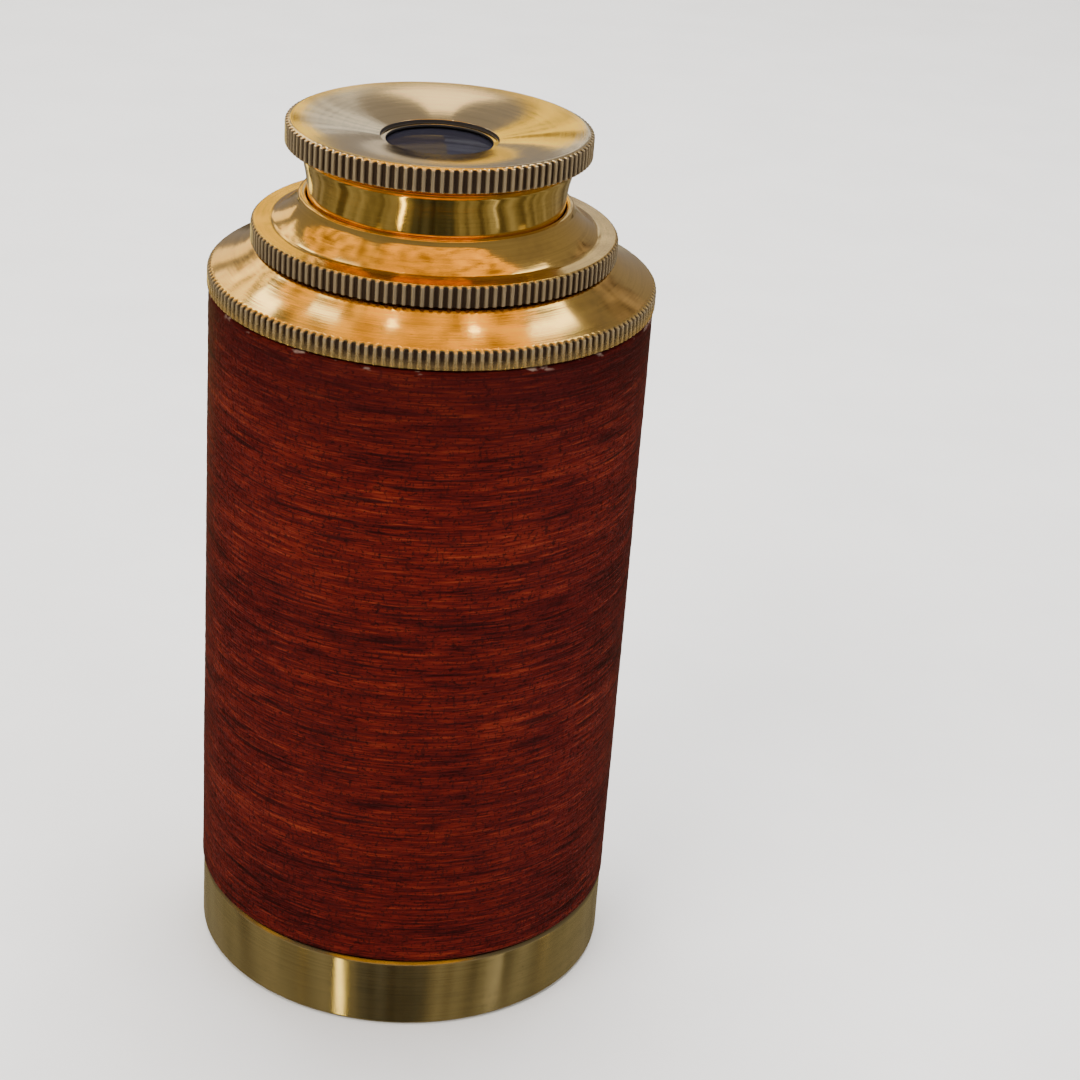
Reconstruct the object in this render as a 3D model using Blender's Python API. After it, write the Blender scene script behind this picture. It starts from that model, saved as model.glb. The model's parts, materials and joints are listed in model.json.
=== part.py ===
"""Brass and leather pocket kaleidoscope, built like a small two-draw spyglass.

The instrument stands on the flat end of its object cell, with its eyecup up.
Origin: centre of the resting face. +Z: the optical axis, towards the eye.

Four bodies make it up:
  barrel       wrapped brass tube, shoulder cap and the fixed prism of three mirrors
  object cell  base ring that turns under the barrel, with loose glass between two discs
  middle draw  collar and tube that slide out of the barrel
  eyepiece     eyecup, lens and inner tube that slide out of the middle draw

Lengths below are millimetres; make_mesh() turns them into Blender's metres.
"""

import math

import bmesh
import bpy
from mathutils import Matrix, Vector

# ---------------------------------------------------------------- driving dimensions (mm)
MM = 0.001
FIT = 0.3                      # clearance between any two neighbouring pieces
SEGMENTS = 40                  # sides of every turned piece

WRAP_RADIUS = 25.0             # leather-covered grip
WRAP_THICKNESS = 0.9
BARREL_WALL = 1.2
BASE_RADIUS = 24.8             # object cell, just inside the wrap
BASE_TOP = 8.9
SHOULDER_RADIUS = 25.1
SHOULDER_BOTTOM = 83.3
SHOULDER_BAND_TOP = 85.1
SHOULDER_TOP = 88.1
COLLAR_RADIUS = 20.4
COLLAR_BAND_TOP = 90.5
COLLAR_TOP = 94.0
NECK_RADIUS = 14.3
NECK_HEAD_RADIUS = 14.9
EYECUP_RADIUS = 16.9
EYECUP_BAND_BOTTOM = 99.7
EYECUP_TOP = 102.3
APERTURE_RADIUS = 6.5
APERTURE_TOP = 100.7
RIM_CHAMFER = 0.3
FUNNEL_CHAMFER = 0.66          # how far in from the eyecup's rim the funnel starts
BASE_RIM = 0.4                 # chamfer on both edges of the base ring
LIP_RADIUS = 0.34              # rolled lip of the collar, round the neck
LEDGE_WIDTH = 2.2              # flat ring between the collar's rim and its hollow slope
NECK_TAPER_SAG = 0.12          # how far the neck's side bows in as it widens
FLARE_RADIUS = 1.6             # hollow under the eyecup's rim

DRAW_TRAVEL = 30.0             # each draw, from closed to its stop ring
MIDDLE_TUBE_RADIUS = 18.5
DRAW_WALL = 0.8
TUBE_FOOT = 20.2               # lower end of both draw tubes when closed
GUIDE_TOP = 74.7               # upper end of both guide bushes
STOP_HEIGHT = 4.0              # stop rings at the tubes' feet
INNER_STOP_FOOT = TUBE_FOOT + 2.0

# radii and heights that follow from them
BARREL_RADIUS = WRAP_RADIUS - WRAP_THICKNESS - FIT
BARREL_BORE = BARREL_RADIUS - BARREL_WALL
INSIDE_BARREL = BARREL_BORE - FIT
BARREL_FOOT = BASE_TOP + FIT
BARREL_TOP = SHOULDER_BOTTOM - FIT
MIDDLE_TUBE_BORE = MIDDLE_TUBE_RADIUS - DRAW_WALL
INSIDE_MIDDLE = MIDDLE_TUBE_BORE - FIT
MIDDLE_GUIDE = MIDDLE_TUBE_RADIUS + FIT
NECK_BORE = NECK_RADIUS - DRAW_WALL
INSIDE_NECK = NECK_BORE - FIT
NECK_GUIDE = NECK_RADIUS + FIT
COLLAR_BOTTOM = SHOULDER_TOP + FIT
SKIRT_FOOT = GUIDE_TOP + FIT

# object cell
CELL_BORE = 23.4
CELL_DISC_RADIUS = CELL_BORE - FIT
CELL_WEB_UNDERSIDE = BASE_TOP - 1.0
SLEEVE_RADIUS = 20.6
SLEEVE_BORE = 19.6
SLEEVE_TOP = 14.4
FOOT_RING_HEIGHT = 2.3
WASHER_HEIGHT = 0.5
RETAINER_DROP = 0.1            # retaining ring below the sleeve's end
BEZEL_BORE = 20.8
BEZEL_TOP = 1.0
DISC_THICKNESS = 1.3
FROSTED_TOP = BEZEL_TOP + FIT + DISC_THICKNESS
SPACER_BORE = 21.8
CLEAR_DISC_TOP = CELL_WEB_UNDERSIDE - FIT
SPACER_TOP = CLEAR_DISC_TOP - DISC_THICKNESS - FIT
CHAMBER_FLOOR = FROSTED_TOP + FIT
OUTER_CHIPS = 8
OUTER_ORBIT = 15.6
INNER_CHIPS = 4
INNER_ORBIT = 7.0
CHIP_RADIUS = 3.3
CHIP_STRETCH = 1.25
CHIP_NOTCH = 0.82              # every other corner, as a share of the chip's radius
CHIP_THICKNESS = 1.4           # thinnest chip
CHIP_STEP = 0.2                # how much thicker the next ones are
BEAD_RADIUS = 1.7

# mirror system
MIRROR_TUBE_RADIUS = NECK_BORE - 0.4
MIRROR_TUBE_BORE = MIRROR_TUBE_RADIUS - 0.6
MIRROR_FOOT = BASE_TOP - 0.7
MIRROR_TOP = 81.0
MIRROR_APOTHEM = 5.75          # axis to each reflecting face
MIRROR_WIDTH = 19.45
MIRROR_THICKNESS = 1.5
PACKING_SET_BACK = 3.0         # from the mirrors' ends to the packing's
PACKING_SLACK = 0.1            # more room than a plain fit, because felt is soft
PACKING_SIDE_SLACK = 4.0       # degrees left free at each side of a packing
PLATE_THICKNESS = 1.5
HUB_RADIUS = 15.5
MASK_HOLE_RADIUS = 5.0
MASK_THICKNESS = 0.8

# eye lens
LENS_RADIUS = 8.5
LENS_RIM_TOP = APERTURE_TOP - 1.0
LENS_RIM_BOTTOM = LENS_RIM_TOP - 2.0
LENS_RING_WIDTH = 1.3
APERTURE_STEP = 0.6            # width of the ledge in front of the lens
APERTURE_STEP_DEPTH = 0.4
RECESS_FOOT = LENS_RIM_BOTTOM - 2.6
SPIGOT_LENGTH = 4.5
SPIGOT_BORE = 12.2
NECK_SEAM = COLLAR_TOP - 1.9   # joint between the eyecup and its tube, hidden in the collar
LENS_CURVE = 155.0             # radius of both faces: a weak lens of about 150 mm focal length


# ---------------------------------------------------------------- scene and materials
def clear_scene():
    for item in list(bpy.data.objects):
        bpy.data.objects.remove(item, do_unlink=True)


def material(name, colour, roughness, metallic=0.0, transmission=0.0):
    made = bpy.data.materials.new(name)
    made.use_nodes = True
    shader = made.node_tree.nodes["Principled BSDF"]
    shader.inputs["Base Color"].default_value = (*colour, 1.0)
    shader.inputs["Roughness"].default_value = roughness
    shader.inputs["Metallic"].default_value = metallic
    shader.inputs["Transmission Weight"].default_value = transmission
    made.diffuse_color = (*colour, 1.0)
    return made


# ---------------------------------------------------------------- outlines
def arc(centre_r, centre_z, radius, start, end, steps):
    """Points of a round stretch of a profile, its angles in degrees from the +r direction."""
    points = []
    for step in range(steps + 1):
        angle = math.radians(start + (end - start) * step / steps)
        points.append((centre_r + radius * math.cos(angle), centre_z + radius * math.sin(angle)))
    return points


def sagged(start, end, sag, steps):
    """Points from start to end along a shallow curve whose middle lies sag to the right of the chord."""
    chord = Vector(end) - Vector(start)
    across = Vector((chord.y, -chord.x)).normalized()
    points = []
    for step in range(steps + 1):
        part = step / steps
        point = Vector(start) + chord * part + across * sag * 4.0 * part * (1.0 - part)
        points.append(tuple(point))
    return points


def ring_profile(inner, outer, bottom, top):
    return [(outer, bottom), (outer, top), (inner, top), (inner, bottom)]


# ---------------------------------------------------------------- solids
def make_mesh(name, geometry, finish, parent):
    """Turns a finished bmesh in millimetres into a named object in metres."""
    bmesh.ops.recalc_face_normals(geometry, faces=geometry.faces)
    geometry.transform(Matrix.Scale(MM, 4))
    mesh = bpy.data.meshes.new(name)
    geometry.to_mesh(mesh)
    geometry.free()
    mesh.materials.append(finish)
    mesh.shade_smooth()
    mesh.set_sharp_from_angle(angle=math.radians(35.0))
    made = bpy.data.objects.new(name, mesh)
    bpy.context.scene.collection.objects.link(made)
    made.parent = parent
    return made


def turned(name, profile, finish, parent):
    """Spins a profile of (radius, height) points once round the optical axis."""
    geometry = bmesh.new()
    points = [geometry.verts.new((radius, 0.0, height)) for radius, height in profile]
    edges = [geometry.edges.new((points[i], points[(i + 1) % len(points)])) for i in range(len(points))]
    if profile[0][0] == 0.0 and profile[-1][0] == 0.0:
        geometry.edges.remove(edges.pop())
    bmesh.ops.spin(geometry, geom=points + edges, cent=(0, 0, 0), axis=(0, 0, 1), dvec=(0, 0, 0),
                   angle=2.0 * math.pi, steps=SEGMENTS, use_merge=True, use_normal_flip=False,
                   use_duplicate=False)
    bmesh.ops.remove_doubles(geometry, verts=geometry.verts, dist=0.001)
    return make_mesh(name, geometry, finish, parent)


def extruded(name, outline, bottom, top, finish, parent, turn=0.0):
    """Raises a flat outline of (x, y) points between two heights, then turns it about the axis."""
    geometry = bmesh.new()
    points = [geometry.verts.new((x, y, bottom)) for x, y in outline]
    face = geometry.faces.new(points)
    raised = bmesh.ops.extrude_face_region(geometry, geom=[face])
    lifted = [item for item in raised["geom"] if isinstance(item, bmesh.types.BMVert)]
    bmesh.ops.translate(geometry, verts=lifted, vec=(0, 0, top - bottom))
    geometry.transform(Matrix.Rotation(math.radians(turn), 4, "Z"))
    return make_mesh(name, geometry, finish, parent)


# ---------------------------------------------------------------- object cell
def build_object_cell(parent, brass, clear_glass, frosted_glass, nylon):
    turned("base_ring", [
        (BASE_RADIUS - BASE_RIM, 0.0), (BASE_RADIUS, BASE_RIM), (BASE_RADIUS, BASE_TOP - BASE_RIM),
        (BASE_RADIUS - BASE_RIM, BASE_TOP), (SLEEVE_RADIUS, BASE_TOP), (SLEEVE_RADIUS, SLEEVE_TOP),
        (SLEEVE_BORE, SLEEVE_TOP), (SLEEVE_BORE, CELL_WEB_UNDERSIDE),
        (CELL_BORE, CELL_WEB_UNDERSIDE), (CELL_BORE, 0.0)], brass, parent)
    turned("bezel_ring", ring_profile(BEZEL_BORE, CELL_DISC_RADIUS, FIT, BEZEL_TOP), brass, parent)
    turned("frosted_glass_disc", [(0.0, BEZEL_TOP + FIT), (CELL_DISC_RADIUS, BEZEL_TOP + FIT),
                                  (CELL_DISC_RADIUS, FROSTED_TOP), (0.0, FROSTED_TOP)],
           frosted_glass, parent)
    turned("chamber_spacer_ring", ring_profile(SPACER_BORE, CELL_DISC_RADIUS, CHAMBER_FLOOR, SPACER_TOP),
           brass, parent)
    turned("clear_glass_disc", [(0.0, SPACER_TOP + FIT), (CELL_DISC_RADIUS, SPACER_TOP + FIT),
                                (CELL_DISC_RADIUS, CLEAR_DISC_TOP), (0.0, CLEAR_DISC_TOP)],
           clear_glass, parent)
    washer_foot = BARREL_FOOT + FOOT_RING_HEIGHT + FIT
    washer_top = washer_foot + WASHER_HEIGHT
    turned("swivel_washer", ring_profile(SLEEVE_RADIUS + FIT, INSIDE_BARREL, washer_foot, washer_top),
           nylon, parent)
    turned("cell_retaining_ring",
           ring_profile(SLEEVE_RADIUS + FIT, INSIDE_BARREL, washer_top + FIT, SLEEVE_TOP - RETAINER_DROP),
           brass, parent)


def chip_outline(corners):
    """A broken-glass outline: a regular polygon, stretched, with every other corner pulled in."""
    points = []
    for corner in range(corners):
        angle = 2.0 * math.pi * corner / corners
        reach = CHIP_RADIUS * (CHIP_NOTCH if corner % 2 else 1.0)
        points.append((reach * math.cos(angle) * CHIP_STRETCH, reach * math.sin(angle)))
    return points


def place(outline, orbit, bearing, spin):
    """Turns an outline by spin and moves it to a place on a circle round the axis."""
    move = Matrix.Translation((orbit * math.cos(bearing), orbit * math.sin(bearing), 0.0))
    move = move @ Matrix.Rotation(spin, 4, "Z")
    return [tuple((move @ Vector((x, y, 0.0))).xy) for x, y in outline]


def build_glass_chips(parent, colours):
    """Loose pieces on the chamber floor, in an outer and an inner ring. Every third one is a bead."""
    for index in range(OUTER_CHIPS + INNER_CHIPS):
        name = f"glass_chip_{index + 1:02d}"
        finish = colours[index % len(colours)]
        if index < OUTER_CHIPS:
            orbit = OUTER_ORBIT
            bearing = 2.0 * math.pi * index / OUTER_CHIPS
        else:
            orbit = INNER_ORBIT
            bearing = 2.0 * math.pi * (index - OUTER_CHIPS + 0.5) / INNER_CHIPS
        if index % 3 == 2:
            bead(name, orbit, bearing, finish, parent)
        else:
            spin = 0.9 * index
            outline = place(chip_outline(3 + index % 4), orbit, bearing, spin)
            thickness = CHIP_THICKNESS + CHIP_STEP * (index % 3)
            extruded(name, outline, CHAMBER_FLOOR, CHAMBER_FLOOR + thickness, finish, parent)


def bead(name, orbit, bearing, finish, parent):
    geometry = bmesh.new()
    centre = (orbit * math.cos(bearing), orbit * math.sin(bearing), CHAMBER_FLOOR + BEAD_RADIUS)
    bmesh.ops.create_icosphere(geometry, subdivisions=2, radius=BEAD_RADIUS,
                               matrix=Matrix.Translation(centre))
    return make_mesh(name, geometry, finish, parent)


# ---------------------------------------------------------------- barrel
def build_barrel(parent, brass, leather):
    turned("barrel_tube", ring_profile(BARREL_BORE, BARREL_RADIUS, BARREL_FOOT, BARREL_TOP), brass, parent)
    turned("barrel_wrap", ring_profile(BARREL_RADIUS + FIT, WRAP_RADIUS, BARREL_FOOT, BARREL_TOP),
           leather, parent)
    turned("barrel_foot_ring",
           ring_profile(SLEEVE_RADIUS + FIT, INSIDE_BARREL, BARREL_FOOT, BARREL_FOOT + FOOT_RING_HEIGHT),
           brass, parent)
    slope_foot = (SHOULDER_RADIUS - RIM_CHAMFER, SHOULDER_BAND_TOP + RIM_CHAMFER)
    slope = sagged(slope_foot, (COLLAR_RADIUS - FIT, SHOULDER_TOP), -0.15, 3)
    turned("shoulder_cap", [(SHOULDER_RADIUS, SHOULDER_BOTTOM), (SHOULDER_RADIUS, SHOULDER_BAND_TOP)]
           + slope + [(MIDDLE_GUIDE, SHOULDER_TOP), (MIDDLE_GUIDE, SKIRT_FOOT),
                      (INSIDE_BARREL, SKIRT_FOOT), (INSIDE_BARREL, SHOULDER_BOTTOM)], brass, parent)
    guide_foot = TUBE_FOOT + STOP_HEIGHT + DRAW_TRAVEL + FIT
    turned("outer_guide_bush", ring_profile(MIDDLE_GUIDE, INSIDE_BARREL, guide_foot, GUIDE_TOP),
           brass, parent)


def build_mirror_system(parent, black_card, mirror_glass, felt, brass):
    plate_foot = SLEEVE_TOP + FIT
    plate_top = plate_foot + PLATE_THICKNESS
    hub_top = TUBE_FOOT - 2 * FIT
    hub_bore = MIRROR_TUBE_RADIUS + FIT
    turned("mirror_base_plate", [
        (INSIDE_BARREL, plate_foot), (INSIDE_BARREL, plate_top), (HUB_RADIUS, plate_top),
        (HUB_RADIUS, hub_top), (hub_bore, hub_top), (hub_bore, plate_foot)], brass, parent)
    turned("mirror_tube", ring_profile(MIRROR_TUBE_BORE, MIRROR_TUBE_RADIUS, MIRROR_FOOT, MIRROR_TOP),
           black_card, parent)
    mask_foot = MIRROR_TOP + FIT
    turned("mirror_end_mask",
           ring_profile(MASK_HOLE_RADIUS, MIRROR_TUBE_RADIUS, mask_foot, mask_foot + MASK_THICKNESS),
           black_card, parent)
    half = MIRROR_WIDTH / 2.0
    back = MIRROR_APOTHEM + MIRROR_THICKNESS
    strip = [(-half, MIRROR_APOTHEM), (half, MIRROR_APOTHEM), (half, back), (-half, back)]
    packing_radius = MIRROR_TUBE_BORE - FIT - PACKING_SLACK
    packing_chord = back + FIT
    reach = math.degrees(math.acos(packing_chord / packing_radius)) - PACKING_SIDE_SLACK
    packing = arc(0.0, 0.0, packing_radius, 90.0 - reach, 90.0 + reach, 8)
    packing.append((packing[-1][0], packing_chord))
    packing.append((packing[0][0], packing_chord))
    for letter, turn in zip("abc", (0.0, 120.0, 240.0)):
        extruded(f"mirror_{letter}", strip, MIRROR_FOOT + FIT, MIRROR_TOP - FIT, mirror_glass, parent, turn)
        extruded(f"mirror_packing_{letter}", packing, MIRROR_FOOT + PACKING_SET_BACK,
                 MIRROR_TOP - PACKING_SET_BACK, felt, parent, turn)


# ---------------------------------------------------------------- draws
def build_middle_draw(parent, brass):
    lip_r = NECK_GUIDE + LIP_RADIUS
    lip_z = COLLAR_TOP - LIP_RADIUS
    rim_edge = (COLLAR_RADIUS - RIM_CHAMFER, COLLAR_BAND_TOP + RIM_CHAMFER)
    cavetto_foot = (COLLAR_RADIUS - LEDGE_WIDTH, COLLAR_BAND_TOP + RIM_CHAMFER)
    cavetto_head = (lip_r + 1.3 * LIP_RADIUS, lip_z - LIP_RADIUS)
    cavetto = sagged(cavetto_foot, cavetto_head, -0.2, 5)
    lip = arc(lip_r, lip_z, LIP_RADIUS, 0.0, 180.0, 4)
    turned("draw_collar", [(COLLAR_RADIUS, COLLAR_BOTTOM), (COLLAR_RADIUS, COLLAR_BAND_TOP), rim_edge]
           + cavetto + lip + [(NECK_GUIDE, SKIRT_FOOT), (INSIDE_MIDDLE, SKIRT_FOOT),
                              (INSIDE_MIDDLE, COLLAR_BOTTOM)], brass, parent)
    turned("middle_draw_tube",
           ring_profile(MIDDLE_TUBE_BORE, MIDDLE_TUBE_RADIUS, TUBE_FOOT, SHOULDER_TOP), brass, parent)
    turned("middle_draw_stop_ring",
           ring_profile(MIDDLE_GUIDE, INSIDE_BARREL, TUBE_FOOT, TUBE_FOOT + STOP_HEIGHT), brass, parent)
    guide_foot = INNER_STOP_FOOT + STOP_HEIGHT + DRAW_TRAVEL + FIT
    turned("inner_guide_bush", ring_profile(NECK_GUIDE, INSIDE_MIDDLE, guide_foot, GUIDE_TOP), brass, parent)


def build_eyepiece(parent, brass, lens_glass):
    spigot_foot = NECK_SEAM - SPIGOT_LENGTH
    lens_recess = LENS_RADIUS + FIT
    seat = LENS_RIM_TOP + FIT
    step_radius = APERTURE_RADIUS - APERTURE_STEP
    step_z = APERTURE_TOP - APERTURE_STEP_DEPTH
    hollow_top = EYECUP_BAND_BOTTOM - 0.2
    taper = sagged((NECK_RADIUS, COLLAR_TOP + FIT), (NECK_HEAD_RADIUS, hollow_top - FLARE_RADIUS),
                   -NECK_TAPER_SAG, 3)
    flare = arc(NECK_HEAD_RADIUS + FLARE_RADIUS, hollow_top - FLARE_RADIUS, FLARE_RADIUS, 180.0, 90.0, 4)
    turned("eyecup", [(INSIDE_NECK, spigot_foot), (INSIDE_NECK, NECK_SEAM), (NECK_RADIUS, NECK_SEAM)]
           + taper + flare[1:]
           + [(EYECUP_RADIUS, EYECUP_BAND_BOTTOM), (EYECUP_RADIUS, EYECUP_TOP - RIM_CHAMFER),
              (EYECUP_RADIUS - FUNNEL_CHAMFER, EYECUP_TOP), (APERTURE_RADIUS, APERTURE_TOP),
              (APERTURE_RADIUS, step_z), (step_radius, step_z), (step_radius, seat),
              (lens_recess, seat), (lens_recess, RECESS_FOOT), (SPIGOT_BORE, RECESS_FOOT),
              (SPIGOT_BORE, spigot_foot)], brass, parent)
    bow = LENS_CURVE - math.sqrt(LENS_CURVE ** 2 - LENS_RADIUS ** 2)
    top_face = sagged((LENS_RADIUS, LENS_RIM_TOP), (0.0, LENS_RIM_TOP + bow), bow / 4.0, 2)
    bottom_face = sagged((0.0, LENS_RIM_BOTTOM - bow), (LENS_RADIUS, LENS_RIM_BOTTOM), bow / 4.0, 2)
    turned("eye_lens", bottom_face + top_face, lens_glass, parent)
    turned("eye_lens_ring", ring_profile(LENS_RADIUS - LENS_RING_WIDTH, LENS_RADIUS, RECESS_FOOT + FIT,
                                         LENS_RIM_BOTTOM - 2 * FIT), brass, parent)
    turned("inner_draw_tube", ring_profile(NECK_BORE, NECK_RADIUS, TUBE_FOOT, NECK_SEAM - FIT), brass, parent)
    turned("inner_draw_stop_ring",
           ring_profile(NECK_GUIDE, INSIDE_MIDDLE, INNER_STOP_FOOT, INNER_STOP_FOOT + STOP_HEIGHT),
           brass, parent)


def body_empty(name):
    made = bpy.data.objects.new(name, None)
    bpy.context.scene.collection.objects.link(made)
    return made


def main():
    clear_scene()
    brass = material("brass", (0.56, 0.40, 0.16), 0.28, metallic=1.0)
    bright_brass = material("bright_brass", (0.72, 0.50, 0.24), 0.2, metallic=1.0)
    leather = material("wrap_leather", (0.08, 0.007, 0.004), 0.55)
    black_card = material("black_card", (0.02, 0.02, 0.02), 0.9)
    felt = material("packing_felt", (0.12, 0.12, 0.12), 0.95)
    nylon = material("washer_nylon", (0.75, 0.72, 0.64), 0.5)
    mirror_glass = material("mirror_glass", (0.9, 0.92, 0.93), 0.03, metallic=1.0)
    clear_glass = material("clear_glass", (0.9, 0.95, 0.93), 0.03, transmission=1.0)
    frosted_glass = material("frosted_glass", (0.85, 0.88, 0.87), 0.6, transmission=0.7)
    lens_glass = material("lens_glass", (0.93, 0.93, 0.97), 0.02, transmission=1.0)
    chip_colours = [
        material("glass_ruby", (0.6, 0.01, 0.02), 0.06, transmission=0.9),
        material("glass_cobalt", (0.01, 0.05, 0.6), 0.06, transmission=0.9),
        material("glass_amber", (0.8, 0.35, 0.02), 0.06, transmission=0.9),
        material("glass_emerald", (0.01, 0.4, 0.12), 0.06, transmission=0.9),
        material("glass_violet", (0.25, 0.03, 0.45), 0.06, transmission=0.9),
    ]
    cell = body_empty("object_cell_axis")
    barrel = body_empty("barrel_axis")
    middle = body_empty("middle_draw_axis")
    eyepiece = body_empty("eyepiece_axis")
    build_object_cell(cell, brass, clear_glass, frosted_glass, nylon)
    build_glass_chips(cell, chip_colours)
    build_barrel(barrel, brass, leather)
    build_mirror_system(barrel, black_card, mirror_glass, felt, brass)
    build_middle_draw(middle, brass)
    build_eyepiece(eyepiece, bright_brass, lens_glass)


main()
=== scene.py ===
"""Looks of a brass and leather pocket kaleidoscope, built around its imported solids.

Every turned piece is made again at full fineness from the outline of its own CAD node, so it has the
CAD part's size. The knurled rims get their teeth, the wrap its leather, and the loose glass its
polished edges. Outlines, the sizes of pieces and the camera's place are in millimetres. The lamps, the
cards, the table and the floor are in metres.
"""

import json
import math

import bmesh
import bpy
import numpy as np
from mathutils import Matrix, Vector, noise


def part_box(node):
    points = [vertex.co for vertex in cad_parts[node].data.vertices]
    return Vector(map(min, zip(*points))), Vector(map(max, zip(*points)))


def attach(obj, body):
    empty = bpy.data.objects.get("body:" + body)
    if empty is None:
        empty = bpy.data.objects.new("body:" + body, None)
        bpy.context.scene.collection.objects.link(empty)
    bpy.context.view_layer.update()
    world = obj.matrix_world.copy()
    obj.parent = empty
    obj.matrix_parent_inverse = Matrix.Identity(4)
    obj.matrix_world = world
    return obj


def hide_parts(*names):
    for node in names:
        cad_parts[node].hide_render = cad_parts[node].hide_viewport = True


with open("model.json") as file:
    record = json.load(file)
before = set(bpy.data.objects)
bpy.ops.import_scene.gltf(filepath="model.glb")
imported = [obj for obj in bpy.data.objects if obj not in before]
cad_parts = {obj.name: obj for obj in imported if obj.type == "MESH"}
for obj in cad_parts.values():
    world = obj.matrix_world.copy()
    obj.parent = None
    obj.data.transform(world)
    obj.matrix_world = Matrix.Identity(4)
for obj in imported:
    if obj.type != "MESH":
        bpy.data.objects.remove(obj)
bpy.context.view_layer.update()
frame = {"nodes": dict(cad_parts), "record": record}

MM = 0.001

# the knurled rims: teeth round the rim, depth of the cut, and the share of the depth lost at the rim's foot
KNURLS = {
    "eyecup": {"teeth": 110, "depth": 0.36, "fade": 0.0},
    "draw_collar": {"teeth": 132, "depth": 0.30, "fade": 0.0},
    "shoulder_cap": {"teeth": 168, "depth": 0.42, "fade": 0.62},
}
KNURL_ROW = 0.2                # height of the rows of faces on a knurled rim
KNURL_MARGIN = 1.0             # how far inside the cut those rows go on
SAMPLES_PER_TOOTH = 6
FIBRES_AND_GLINT = 0.5                     # how far down the wrap's top edge its pale fibres show, in part a painted glint of the shoulder's lower edge
SHADE_UNDER_SHOULDER = 14.0                  # how far down from the wrap's top edge the painted shade under the shoulder reaches
NECK_GAP = 0.07                # the dark line left between the neck and the collar's lip
WRAP_ROWS = 150                # rows of faces up the wrap
WRAP_SIDES = 288
WRAP_EDGE = 0.25               # how far the wrap's edges are turned in
WRAP_SWELL = 0.06              # depth of the wrap's slow unevenness
WRAP_STREAK = 0.035            # depth of its streaks
WRAP_STRETCH = 0.055           # how slowly the unevenness changes with height
SWELL_FINENESS = 1.7
STREAKS_AROUND = 2.5
STREAKS_UP = 1.5               # streaks a millimetre
CHIP_EDGE = 0.22               # how much of a glass chip's edge is melted round
CORNER_EASE = 0.11             # how much a turned corner is broken
CORNER_SHARE = 0.35            # the most of a straight that a broken corner takes up
CURVE_SHARE = 0.45             # how much of a straight a smoothed curve takes up
STRAIGHT_LIMIT = 0.5           # a smaller turn in an outline, in degrees, is left as it is
BEND_LIMIT = 33.0              # a sharper turn in an outline is a corner, a softer one a curve

# camera: straight in front and above, looking down and a little past the right side; angles in degrees
CAMERA_PLACE = (0.0, -257.9, 177.2)
CAMERA_PAN = 3.16
CAMERA_TILT = 25.78
CAMERA_ROLL = 4.32
CAMERA_LENS = 80.95

# what the brass mirrors: glowing cards round it and a dark table under it
CARD_DISTANCE = 1.0
MIRRORED_HEIGHT = 0.095        # the height that the cards stand round
TABLE_HEIGHT = -1.0            # far below, so that upright brass mirrors it in upright bands
TABLE_REACH = 8.0
TABLE_THINGS = 34.0            # about how many light and dark bands it has all round
SHADE_LEFT = 22.68             # the viewer's shade on the table, in degrees from straight in front
SHADE_RIGHT = 17.64
SHADE_BLUR = 1.08
# name, azimuth, elevation, width and height in degrees, colour, strength and clutter
CARDS = (
    ("ceiling", 0, 101, 62, 82, (1.0, 0.51, 0.03), 2.5, (6.0, 11.0)),
    ("ceiling_left", -78, 50, 46, 42, (1.0, 0.56, 0.08), 2.0, (6.0, 11.0)),
    ("window_right", 50, 54, 8, 14, (1.0, 0.94, 0.84), 5.0, None),
    ("window_left", -41, 41, 6, 9, (1.0, 0.95, 0.88), 6.0, None),
    ("window_far_left", -54, 59, 5, 9, (1.0, 0.95, 0.88), 4.5, None),
    ("wall_left", -33, 27, 20, 18, (1.0, 0.80, 0.48), 3.2, (12.0, 12.0)),
    ("wall_right", 34, 27, 12, 16, (1.0, 0.82, 0.70), 0.5, (12.0, 12.0)),
    ("back_centre", 0, 36.5, 3.4, 12, (1.0, 0.80, 0.50), 2.2, None),
    ("back_low_right", 9, 19.3, 18, 18, (0.98, 0.96, 0.92), 1.3, (4.0, 40.0)),
    ("back_low_left", -8, 19.3, 16, 18, (1.0, 0.68, 0.12), 2.3, (4.0, 40.0)),
    ("lamp_left", -52, 78, 2.0, 2.0, (1.0, 0.85, 0.6), 22.0, None),
    ("lamp_right", 50, 76, 2.0, 2.0, (1.0, 0.85, 0.6), 22.0, None),
    ("low_left", -26, 9, 18, 9, (1.0, 0.74, 0.34), 2.0, None),
    ("strip_left", 212, -38, 2.1, 26, (1.0, 0.80, 0.30), 11.0, None),
    ("strip_right", 122, -38, 1.6, 26, (1.0, 0.92, 0.75), 1.3, None),
    ("glow_left", 230, -17, 5, 12, (1.0, 0.70, 0.20), 0.8, None),
    ("glow_far_left", -30, -17, 9, 12, (1.0, 0.78, 0.22), 2.6, None),
    ("glow_right", 97, -17, 7, 12, (1.0, 0.72, 0.25), 0.9, None),
)

# soft lamps: name, place, size, power in watts and colour; all of them aim at LAMP_TARGET
LAMP_TARGET = (0.0, 0.0, 0.06)
LAMPS = (
    ("key", (-0.55, -0.60, 0.75), 0.60, 10.0, (1.0, 0.96, 0.90)),
    ("fill", (0.70, -0.50, 0.50), 0.60, 4.5, (0.96, 0.96, 1.0)),
    ("top", (0.0, 0.25, 1.0), 0.80, 23.0, (1.0, 1.0, 1.0)),
)
ROOM_TONE = (0.30, 0.27, 0.24)         # what surrounds the cards
BACKDROP_TONE = (2.4, 2.4, 2.35)       # what the camera sees past the floor
FLOOR_REACH = 3.0


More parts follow.
